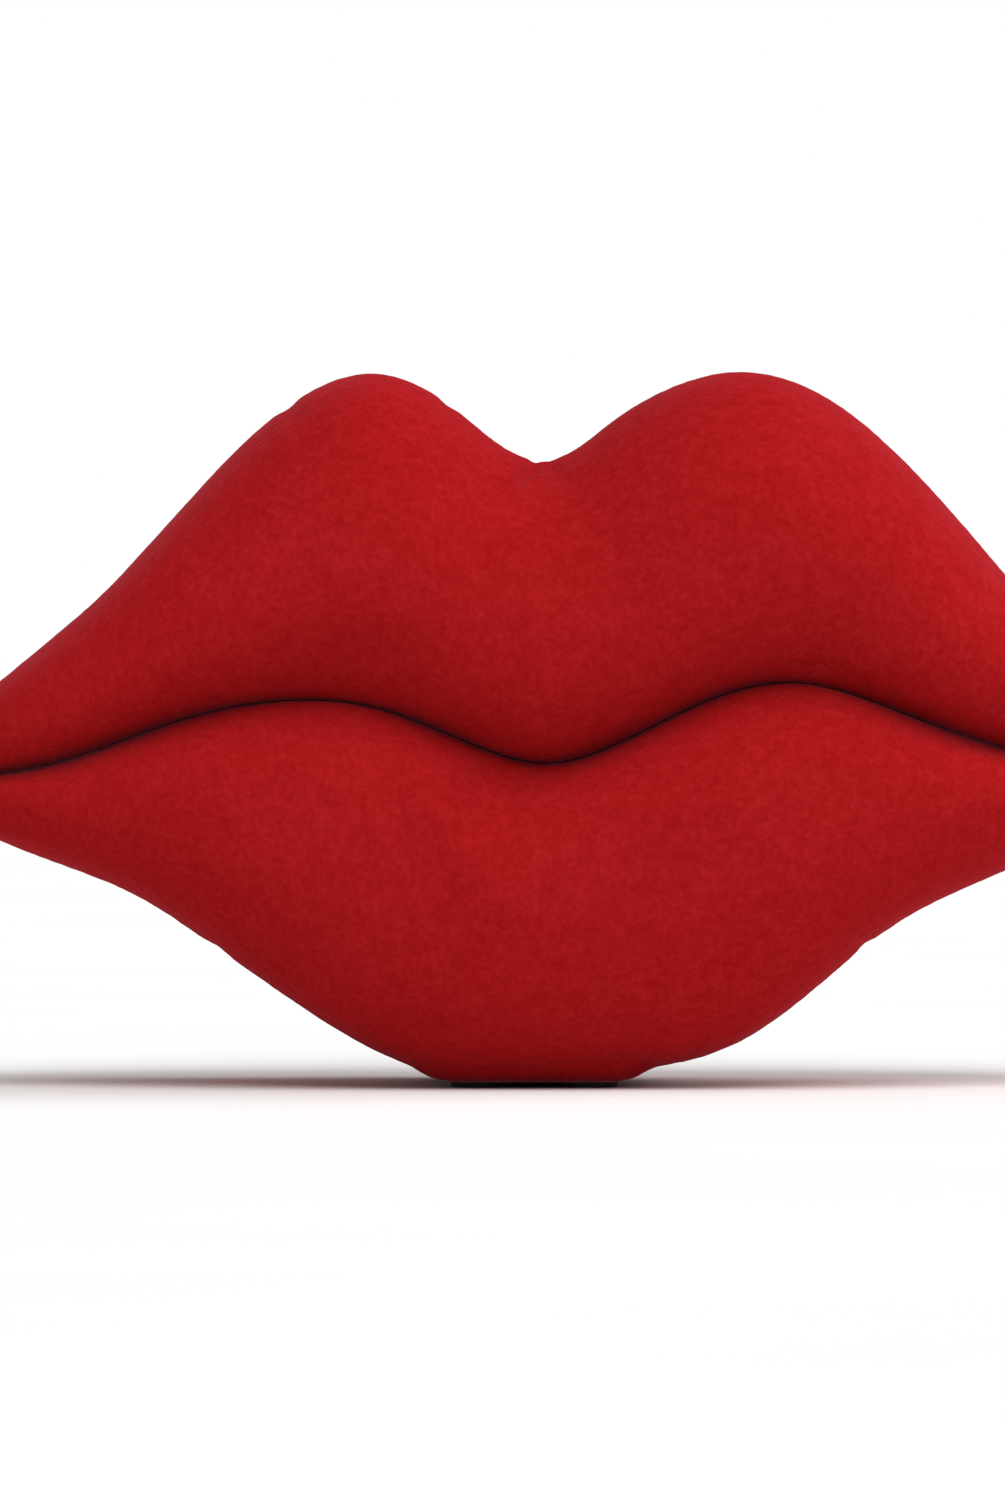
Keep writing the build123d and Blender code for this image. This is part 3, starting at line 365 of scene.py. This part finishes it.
def lip(name, upper, material):
    """One padded lip: its smooth form, then the padding's unevenness and the tucks round hard parts."""
    rings = lip_rings(upper)
    normal = normals_of(rings)
    seed = 1 if upper else 2
    shown = np.zeros(rings.shape[:2])
    shown[:, :OUTER_POINTS] = 1
    edge = np.minimum(np.arange(OUTER_POINTS), np.arange(OUTER_POINTS)[::-1]) / EDGE_FADE_POINTS
    shown[:, :OUTER_POINTS] *= smoothstep(0, 1, edge)[None, :]
    tips = smoothstep(*TIP_FADE, np.abs(rings[..., 0]))
    push = BROAD_LUMPS[0] * lumps(rings, BROAD_LUMPS[1], seed)
    push = push + FINE_LUMPS[0] * lumps(rings, FINE_LUMPS[1], seed + 2)
    push = push * tips * shown * (0.3 + 0.7 * np.abs(normal[..., 1]))
    push += swellings(rings, UPPER_SWELLINGS if upper else LOWER_SWELLINGS) * shown
    push += creases(rings, UPPER_CREASES if upper else LOWER_CREASES) * shown
    from_seam = np.abs(np.arange(rings.shape[1]) - SEAM_INDEX[upper])[None, :]
    push -= SEAM_DEPTH * smoothstep(SEAM_REACH, 0, from_seam) * tips
    push += WELT_HEIGHT * smoothstep(WELT_OUTER, WELT_INNER, from_seam) * tips
    nap = NAP_LUMPS[0] * lumps(rings, NAP_LUMPS[1], seed + 4) * np.maximum(shown, 0.4)
    rings = rings + normal * (push + nap)[..., None]
    if upper:
        rings = tuck(rings, "handset_jack", "back", corner=1.8, shallow=0.8, deep=31.0)
    else:
        rings = tuck(rings, "rear_panel", "back", corner=3.0, shallow=0.9, deep=28.6)
        rings = tuck(
            rings, "base_floor", "down", corner=4.0, shallow=UNDERSIDE - 1.0, deep=3.2, reach=7.0
        )
        rings[..., 2] = np.maximum(rings[..., 2], UNDERSIDE - 0.1)

    count, size = rings.shape[:2]
    points = list(rings.reshape(-1, 3) * MM)
    faces = []
    for i in range(count - 1):
        for k in range(size):
            n = (k + 1) % size
            faces.append((i * size + k, i * size + n, (i + 1) * size + n, (i + 1) * size + k))
    for end, order in ((0, 1), (count - 1, -1)):
        pole = len(points)
        points.append(rings[end].mean(0) * MM + np.array([-order * POLE_STEP * MM, 0, 0]))
        for k in range(size):
            pair = (end * size + k, end * size + (k + 1) % size)
            faces.append((pole, *pair[::-order]))
    made = mesh_object(name, points, faces, material)
    bpy.context.view_layer.objects.active = made
    bpy.ops.object.select_all(action="DESELECT")
    made.select_set(True)
    bpy.ops.object.mode_set(mode="EDIT")
    bpy.ops.mesh.select_all(action="SELECT")
    bpy.ops.mesh.normals_make_consistent(inside=False)
    bpy.ops.object.mode_set(mode="OBJECT")
    return made, rings


# ---- Materials ----
def node_material(name):
    """A material with its Principled shader, and a function that adds and links a node."""
    material = bpy.data.materials.new(name)
    material.use_nodes = True
    tree = material.node_tree
    shader = tree.nodes["Principled BSDF"]

    def node(kind, inputs=None, **settings):
        made = tree.nodes.new(kind)
        for key, value in settings.items():
            setattr(made, key, value)
        for key, value in (inputs or {}).items():
            if isinstance(value, bpy.types.NodeSocket):
                tree.links.new(value, made.inputs[key])
            else:
                made.inputs[key].default_value = value
        return made

    return material, shader, node, tree.links.new


def ramp(node, factor, stops):
    made = node("ShaderNodeValToRGB", {"Fac": factor})
    elements = made.color_ramp.elements
    while len(elements) < len(stops):
        elements.new(0.5)
    for element, (place, colour) in zip(elements, stops):
        element.position = place
        element.color = (*colour, 1) if len(colour) == 3 else colour
    return made.outputs["Color"]


def grain(node, place, size_mm, detail=3.0, roughness=0.55, distortion=0.0):
    """Noise with features of about that size."""
    return node(
        "ShaderNodeTexNoise",
        {
            "Vector": place,
            "Scale": 1 / (size_mm * MM),
            "Detail": detail,
            "Roughness": roughness,
            "Distortion": distortion,
        },
    ).outputs["Fac"]


def bump(node, shader, link, layers):
    """Stacks bump layers, each (height socket, distance in millimetres, strength)."""
    last = None
    for height, distance, strength in layers:
        inputs = {"Height": height, "Distance": distance * MM, "Strength": strength}
        if last is not None:
            inputs["Normal"] = last
        last = node("ShaderNodeBump", inputs).outputs["Normal"]
    link(last, shader.inputs["Normal"])


def napped_fabric(name, dark, middle, light, sheen_tint):
    """Short soft nap: mottled colour, tufts that lie in different directions, and a pale sheen."""
    material, shader, node, link = node_material(name)
    place = node("ShaderNodeTexCoord").outputs["Object"]
    broad = grain(node, place, 26, 2)
    mottle = grain(node, place, 3.0, 2, 0.5)
    tufts = grain(node, place, 1.1, 2, 0.5)
    fibres = grain(node, place, 0.35, 2, 0.6)
    tone = node("ShaderNodeMath", {0: mottle, 1: 0.26}, operation="MULTIPLY").outputs[0]
    tone = node("ShaderNodeMath", {0: tufts, 1: 0.40, 2: tone}, operation="MULTIPLY_ADD").outputs[0]
    tone = node("ShaderNodeMath", {0: fibres, 1: 0.22, 2: tone}, operation="MULTIPLY_ADD").outputs[0]
    tone = node("ShaderNodeMath", {0: broad, 1: 0.12, 2: tone}, operation="MULTIPLY_ADD").outputs[0]
    colour = ramp(node, tone, [(0.32, dark), (0.50, middle), (0.68, light)])
    link(colour, shader.inputs["Base Color"])
    rough = node("ShaderNodeMapRange", {"Value": tufts, "To Min": 0.86, "To Max": 1.0}).outputs["Result"]
    link(rough, shader.inputs["Roughness"])
    shader.inputs["Specular IOR Level"].default_value = 0.0
    shader.inputs["Sheen Weight"].default_value = 0.20
    shader.inputs["Sheen Roughness"].default_value = 0.30
    shader.inputs["Sheen Tint"].default_value = (*sheen_tint, 1)
    bump(
        node,
        shader,
        link,
        [(mottle, 0.25, 0.4), (tufts, 0.20, 0.6), (fibres, 0.08, 0.6)],
    )
    return material


def moulded_plastic(name, colour, roughness, texture_mm=0.5, texture_depth=0.01, wear=0.25, coat=0.0):
    """Moulded plastic with a fine spark texture, faint flow marks and a worn, dusty finish."""
    material, shader, node, link = node_material(name)
    place = node("ShaderNodeTexCoord").outputs["Object"]
    flow = grain(node, place, 18, 3, 0.5, 1.5)
    dust = grain(node, place, 4, 5, 0.7)
    texture = grain(node, place, texture_mm, 2)
    lighter = tuple(c * (1 + wear * 0.5) + 0.012 * wear for c in colour)
    darker = tuple(c * (1 - wear * 0.35) for c in colour)
    link(ramp(node, flow, [(0.3, darker), (0.5, colour), (0.72, lighter)]), shader.inputs["Base Color"])
    rough = node(
        "ShaderNodeMapRange",
        {
            "Value": dust,
            "From Min": 0.3,
            "From Max": 0.75,
            "To Min": roughness * 0.85,
            "To Max": roughness + 0.22 * wear + 0.05,
        },
    ).outputs["Result"]
    link(rough, shader.inputs["Roughness"])
    shader.inputs["Specular IOR Level"].default_value = 0.28
    shader.inputs["Coat Weight"].default_value = coat
    shader.inputs["Coat Roughness"].default_value = 0.12
    bump(node, shader, link, [(texture, texture_depth, 0.6), (flow, 0.05, 0.15)])
    return material


def worked_metal(name, colour, roughness, stretch=(1, 1, 1), metallic=1.0, mark_mm=0.6):
    """Metal with fine drawn or plated marks and patches of dulled finish."""
    material, shader, node, link = node_material(name)
    place = node("ShaderNodeTexCoord").outputs["Object"]
    place = node("ShaderNodeMapping", {"Vector": place, "Scale": stretch}).outputs["Vector"]
    marks = grain(node, place, mark_mm, 3, 0.7)
    patches = grain(node, place, 6, 4, 0.6)
    dull = tuple(c * 0.72 for c in colour)
    link(ramp(node, patches, [(0.35, dull), (0.6, colour)]), shader.inputs["Base Color"])
    rough = node(
        "ShaderNodeMapRange",
        {"Value": marks, "To Min": roughness * 0.75, "To Max": min(1.0, roughness * 1.35)},
    ).outputs["Result"]
    link(rough, shader.inputs["Roughness"])
    shader.inputs["Metallic"].default_value = metallic
    bump(node, shader, link, [(marks, 0.02, 0.35)])
    return material


def circuit_board_finish(name):
    """Green solder mask over a grid of tracks, with pale pads showing through."""
    material, shader, node, link = node_material(name)
    place = node("ShaderNodeTexCoord").outputs["Object"]
    tracks = node(
        "ShaderNodeTexBrick",
        {
            "Vector": place,
            "Color1": (0, 0, 0, 1),
            "Color2": (0.2, 0.2, 0.2, 1),
            "Mortar": (1, 1, 1, 1),
            "Scale": 160.0,
            "Mortar Size": 0.06,
            "Brick Width": 0.9,
            "Row Height": 0.4,
        },
    ).outputs["Color"]
    pads = node("ShaderNodeTexVoronoi", {"Vector": place, "Scale": 260.0}, feature="F1").outputs["Distance"]
    base = ramp(node, tracks, [(0.0, (0.010, 0.075, 0.028)), (1.0, (0.022, 0.14, 0.05))])
    spots = ramp(node, pads, [(0.16, (1, 1, 1)), (0.2, (0, 0, 0))])
    mixed = node("ShaderNodeMix", {0: spots, 6: base, 7: (0.62, 0.6, 0.52, 1)}, data_type="RGBA")
    link(mixed.outputs[2], shader.inputs["Base Color"])
    shader.inputs["Roughness"].default_value = 0.35
    bump(node, shader, link, [(tracks, 0.04, 0.5)])
    return material


def pressed_felt(name, colour):
    """Matted fibres with paler clumps, which also stand for the foam's open cells."""
    material, shader, node, link = node_material(name)
    place = node("ShaderNodeTexCoord").outputs["Object"]
    fibres = grain(node, place, 0.4, 5, 0.8, 2.0)
    clumps = grain(node, place, 1.6, 4, 0.7, 1.0)
    pale = tuple(min(1, c * 1.9 + 0.01) for c in colour)
    link(ramp(node, clumps, [(0.35, colour), (0.7, pale)]), shader.inputs["Base Color"])
    shader.inputs["Roughness"].default_value = 0.95
    shader.inputs["Sheen Weight"].default_value = 0.3
    bump(node, shader, link, [(clumps, 0.3, 0.6), (fibres, 0.12, 0.8)])
    return material


def studio_floor_finish():
    """A pale, nearly even floor."""
    material, shader, node, link = node_material("pale_floor")
    place = node("ShaderNodeTexCoord").outputs["Object"]
    cloud = grain(node, place, 300, 2)
    pale = ramp(node, cloud, [(0.3, (0.84, 0.84, 0.84)), (0.7, (0.87, 0.87, 0.87))])
    link(pale, shader.inputs["Base Color"])
    shader.inputs["Roughness"].default_value = 0.75
    shader.inputs["Specular IOR Level"].default_value = 0.2
    return material


FABRIC = napped_fabric(
    "lip_fabric",
    dark=(0.275, 0.0052, 0.0060),
    middle=(0.335, 0.0080, 0.0094),
    light=(0.395, 0.0125, 0.0155),
    sheen_tint=(1.0, 0.25, 0.34),
)
THREAD = moulded_plastic("seam_thread", (0.30, 0.008, 0.010), 0.7, 0.3, 0.03, 0.3)
FINISHES = {
    "lip_fabric": FABRIC,
    "foam": pressed_felt("foam", (0.62, 0.52, 0.30)),
    "red_plastic": moulded_plastic("red_plastic", (0.27, 0.006, 0.008), 0.36, 0.45, 0.010, 0.16),
    "white_plastic": moulded_plastic("white_plastic", (0.78, 0.755, 0.68), 0.24, 0.8, 0.004, 0.3, 0.2),
    "black_plastic": moulded_plastic("black_plastic", (0.018, 0.018, 0.020), 0.46, 0.35, 0.015, 0.5),
    "dark_rubber": moulded_plastic("dark_rubber", (0.022, 0.022, 0.023), 0.78, 0.6, 0.02, 0.6),
    "felt": pressed_felt("felt", (0.035, 0.034, 0.036)),
    "bright_metal": worked_metal("bright_metal", (0.74, 0.74, 0.76), 0.28, (1, 1, 8)),
    "circuit_board": circuit_board_finish("circuit_board"),
    "screw_steel": worked_metal("screw_steel", (0.60, 0.60, 0.60), 0.32, (1, 1, 1), 1.0, 0.3),
    "iron": worked_metal("iron", (0.085, 0.085, 0.09), 0.6, (1, 1, 1), 0.6, 1.2),
}


def finish_frame_nodes():
    """Gives every hard part the finish of its own slot."""
    for row in frame["record"]["subparts"]:
        part = frame["nodes"][row["node"]]
        part.data.materials.clear()
        part.data.materials.append(FINISHES[row["material_slot"]])


# ---- Small pieces ----
def stitches(name, rings, index, body):
    """A run of short thread stitches along the rear seam of a lip."""
    kept = slice(TIP_RINGS + 4, -TIP_RINGS - 4)
    line = rings[kept, index] * MM
    along = np.concatenate([[0], np.cumsum(np.linalg.norm(np.diff(line, axis=0), axis=1))])
    length, gap, thick = 2.6 * MM, 1.2 * MM, 0.28 * MM
    normal = normals_of(rings)[kept, index]
    places = np.arange(4 * MM, along[-1] - 4 * MM, length + gap)
    points, faces = [], []
    for place in places:
        ends = [np.array([np.interp(place + d, along, line[:, i]) for i in range(3)]) for d in (0, length)]
        up = np.array([np.interp(place, along, normal[:, i]) for i in range(3)])
        run = ends[1] - ends[0]
        side = np.cross(run, up)
        side /= np.linalg.norm(side)
        first = len(points)
        for share, width, lift in ((0, 0.35, -0.5), (0.2, 1, 0.35), (0.8, 1, 0.35), (1, 0.35, -0.5)):
            middle = ends[0] + run * share + up * lift * thick
            for turn in range(6):
                a = turn * math.pi / 3
                points.append(middle + (side * math.cos(a) + up * math.sin(a)) * thick * width)
        for step in range(3):
            for turn in range(6):
                a, b = first + step * 6 + turn, first + step * 6 + (turn + 1) % 6
                faces.append((a, b, b + 6, a + 6))
        faces.append(tuple(range(first, first + 6))[::-1])
        faces.append(tuple(range(first + 18, first + 24)))
    made = mesh_object(name, points, faces, THREAD)
    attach(made, body)
    return made


def digit(key, text):
    """A printed figure on a key's face, which looks down. The top of the figure is towards -X."""
    low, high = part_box(f"key_{key}")
    curve = bpy.data.curves.new(f"figure_{key}", "FONT")
    curve.body = text
    curve.size = (STAR_SIZE if text == "*" else FIGURE_SIZE) * MM
    curve.extrude = FIGURE_THICKNESS * MM
    curve.align_x, curve.align_y = "CENTER", "CENTER"
    made = bpy.data.objects.new(f"figure_{key}", curve)
    bpy.context.collection.objects.link(made)
    bpy.context.view_layer.update()
    mesh = bpy.data.meshes.new_from_object(made.evaluated_get(bpy.context.evaluated_depsgraph_get()))
    bpy.data.objects.remove(made)
    places = np.array([v.co for v in mesh.vertices])
    places[:, :2] -= (places[:, :2].max(0) + places[:, :2].min(0)) / 2
    middle = (low + high) / 2
    turned = np.column_stack([-places[:, 1], -places[:, 0], -places[:, 2]])
    turned += np.array([middle.x, middle.y, low.z - FIGURE_GAP * MM])
    mesh.vertices.foreach_set("co", turned.ravel())
    mesh.materials.clear()
    mesh.materials.append(FINISHES["black_plastic"])
    piece = bpy.data.objects.new(f"figure_{key}", mesh)
    bpy.context.collection.objects.link(piece)
    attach(piece, f"key_{key}")
    return piece


def keypad_rubber():
    """The keypad's rubber: a sheet, and a dome over each key."""
    low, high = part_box("keypad_mat")
    sheet_bottom = low.z + DOME_HEIGHT * MM
    rubber = FINISHES["dark_rubber"]
    corners = [
        (x, y, z) for z in (sheet_bottom, high.z) for y in (low.y, high.y) for x in (low.x, high.x)
    ]
    faces = [(0, 2, 3, 1), (4, 5, 7, 6), (0, 1, 5, 4), (2, 6, 7, 3), (0, 4, 6, 2), (1, 3, 7, 5)]
    sheet = mesh_object("keypad_sheet", corners, faces, rubber, False)
    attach(sheet, "handset")
    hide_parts("keypad_mat")
    for key in KEYS:
        key_low, key_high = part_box(f"key_{key}")
        middle = (key_low + key_high) / 2
        points, faces = [], []
        for radius, share in DOME_PROFILE:
            for turn in range(DOME_TURNS):
                a = 2 * math.pi * turn / DOME_TURNS
                x, y = middle.x + radius * MM * math.cos(a), middle.y + radius * MM * math.sin(a)
                points.append((x, y, low.z + share * DOME_HEIGHT * MM))
        for ring in range(len(DOME_PROFILE) - 1):
            for turn in range(DOME_TURNS):
                a = ring * DOME_TURNS + turn
                b = ring * DOME_TURNS + (turn + 1) % DOME_TURNS
                faces.append((a, b, b + DOME_TURNS, a + DOME_TURNS))
        faces.append(tuple(range(DOME_TURNS))[::-1])
        faces.append(tuple(range(len(points) - DOME_TURNS, len(points))))
        dome = mesh_object(f"keypad_dome_{key}", points, faces, rubber)
        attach(dome, "handset")
        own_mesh(dome)


# ---- The studio ----
FRAME_HEIGHT = 270.0  # what the picture takes in at the object, in millimetres
FRAME_MIDDLE = (-7.7, -15.0, 60.6)
CAMERA_DISTANCE = 1.8
SENSOR = 36.0


def studio():
    camera_data = bpy.data.cameras.new("camera")
    camera_data.sensor_width = SENSOR
    camera_data.lens = SENSOR * CAMERA_DISTANCE / (FRAME_HEIGHT * MM)
    camera_data.clip_start, camera_data.clip_end = 0.05, 100
    camera = bpy.data.objects.new("camera", camera_data)
    x, y, z = (c * MM for c in FRAME_MIDDLE)
    camera.location = (x, y - CAMERA_DISTANCE, z)
    camera.rotation_euler = (math.radians(90), 0, 0)
    bpy.context.collection.objects.link(camera)
    bpy.context.scene.camera = camera

    bpy.ops.mesh.primitive_grid_add(x_subdivisions=8, y_subdivisions=8, size=40)
    floor = bpy.context.object
    floor.name = "floor"
    floor.location = (0, 0, 0)
    floor.data.materials.append(studio_floor_finish())

    def sun(name, azimuth, elevation, strength, softness, colour=(1, 1, 1)):
        data = bpy.data.lights.new(name, "SUN")
        data.energy, data.angle, data.color = strength, math.radians(softness), colour
        light = bpy.data.objects.new(name, data)
        a, e = math.radians(azimuth), math.radians(elevation)
        towards = Vector((math.sin(a) * math.cos(e), -math.cos(a) * math.cos(e), math.sin(e)))
        light.rotation_mode = "QUATERNION"
        light.rotation_quaternion = towards.to_track_quat("Z", "Y")
        bpy.context.collection.objects.link(light)

    sun("key", 12, 55, 2.2, 50)
    sun("rim", 105, 35, 1.5, 40)

    world = bpy.data.worlds.new("studio")
    bpy.context.scene.world = world
    world.use_nodes = True
    tree = world.node_tree
    tree.nodes.clear()
    lit = tree.nodes.new("ShaderNodeBackground")
    lit.inputs["Strength"].default_value = 0.38
    seen = tree.nodes.new("ShaderNodeBackground")
    seen.inputs["Strength"].default_value = 1.0
    for background in (lit, seen):
        background.inputs["Color"].default_value = (1, 1, 1, 1)
    path = tree.nodes.new("ShaderNodeLightPath")
    mix = tree.nodes.new("ShaderNodeMixShader")
    output = tree.nodes.new("ShaderNodeOutputWorld")
    tree.links.new(path.outputs["Is Camera Ray"], mix.inputs["Fac"])
    tree.links.new(lit.outputs[0], mix.inputs[1])
    tree.links.new(seen.outputs[0], mix.inputs[2])
    tree.links.new(mix.outputs[0], output.inputs["Surface"])
    bpy.context.scene.view_settings.view_transform = "Standard"


finish_frame_nodes()
for upper, name, body, hidden in (
    (True, "upper_lip", "handset", ("upper_lip_cover", "upper_lip_foam")),
    (False, "lower_lip", "base", ("lower_lip_cover", "lower_lip_foam")),
):
    pad, lip_points = lip(name, upper, FABRIC)
    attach(pad, body)
    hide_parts(*hidden)
    stitches(f"{name}_stitches", lip_points, SEAM_INDEX[upper], body)
for key, text in zip(KEYS, "123456789*0#"):
    digit(key, text)
keypad_rubber()
studio()
